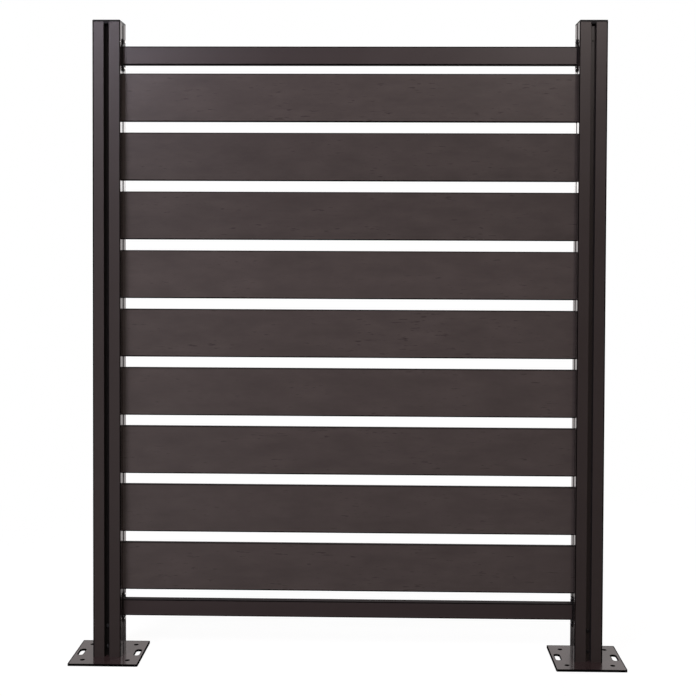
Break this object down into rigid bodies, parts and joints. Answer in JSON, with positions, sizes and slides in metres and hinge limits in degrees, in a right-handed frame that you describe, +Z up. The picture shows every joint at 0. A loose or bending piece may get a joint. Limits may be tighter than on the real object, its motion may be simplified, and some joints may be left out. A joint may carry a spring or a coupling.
{
  "type": "garden privacy screen",
  "caption": "Free-standing garden privacy screen: grooved metal posts on bolt-down plates, top and bottom rails, and horizontal composite boards with even gaps.",
  "frame": {"origin": "on the ground, midway between the two posts, at the centre of the screen's depth", "axes": "+X along the screen to the right seen from the front, -Y out of the front, +Z up"},
  "size_m": [1.588, 0.2, 1.842],
  "materials": {
    "post_coat": "dark bronze powder coat, semi-gloss, fine texture",
    "rail_coat": "dark bronze powder coat, semi-gloss, fine texture",
    "plate_coat": "dark bronze powder coat on steel, satin",
    "bracket_coat": "black coated casting, satin",
    "cap_plastic": "black moulded plastic, fine grain",
    "groove_plastic": "black moulded plastic, matt",
    "board_composite": "dark brown wood-plastic composite with a faint brushed wood grain along its length",
    "bright_screws": "stainless steel pan head",
    "black_screws": "black coated steel pan head"
  },
  "bodies": {
    "root": {"left_post": "post_coat", "left_base_plate": "plate_coat", "left_foot_spigot": "plate_coat", "left_post_cap": "cap_plastic", "left_lower_packer": "groove_plastic", "left_upper_packer": "groove_plastic", "left_spacer_1": "groove_plastic", "left_spacer_2": "groove_plastic", "left_spacer_3": "groove_plastic", "left_spacer_4": "groove_plastic", "left_spacer_5": "groove_plastic", "left_spacer_6": "groove_plastic", "left_spacer_7": "groove_plastic", "left_spacer_8": "groove_plastic", "bottom_left_bracket": "bracket_coat", "top_left_bracket": "bracket_coat", "right_post": "post_coat", "right_base_plate": "plate_coat", "right_foot_spigot": "plate_coat", "right_post_cap": "cap_plastic", "right_lower_packer": "groove_plastic", "right_upper_packer": "groove_plastic", "right_spacer_1": "groove_plastic", "right_spacer_2": "groove_plastic", "right_spacer_3": "groove_plastic", "right_spacer_4": "groove_plastic", "right_spacer_5": "groove_plastic", "right_spacer_6": "groove_plastic", "right_spacer_7": "groove_plastic", "right_spacer_8": "groove_plastic", "bottom_right_bracket": "bracket_coat", "top_right_bracket": "bracket_coat", "bottom_rail": "rail_coat", "top_rail": "rail_coat", "board_1": "board_composite", "board_2": "board_composite", "board_3": "board_composite", "board_4": "board_composite", "board_5": "board_composite", "board_6": "board_composite", "board_7": "board_composite", "board_8": "board_composite", "board_9": "board_composite", "foot_screws": "black_screws", "bracket_screws": "bright_screws", "rail_screws": "black_screws"}
  },
  "joints": []
}
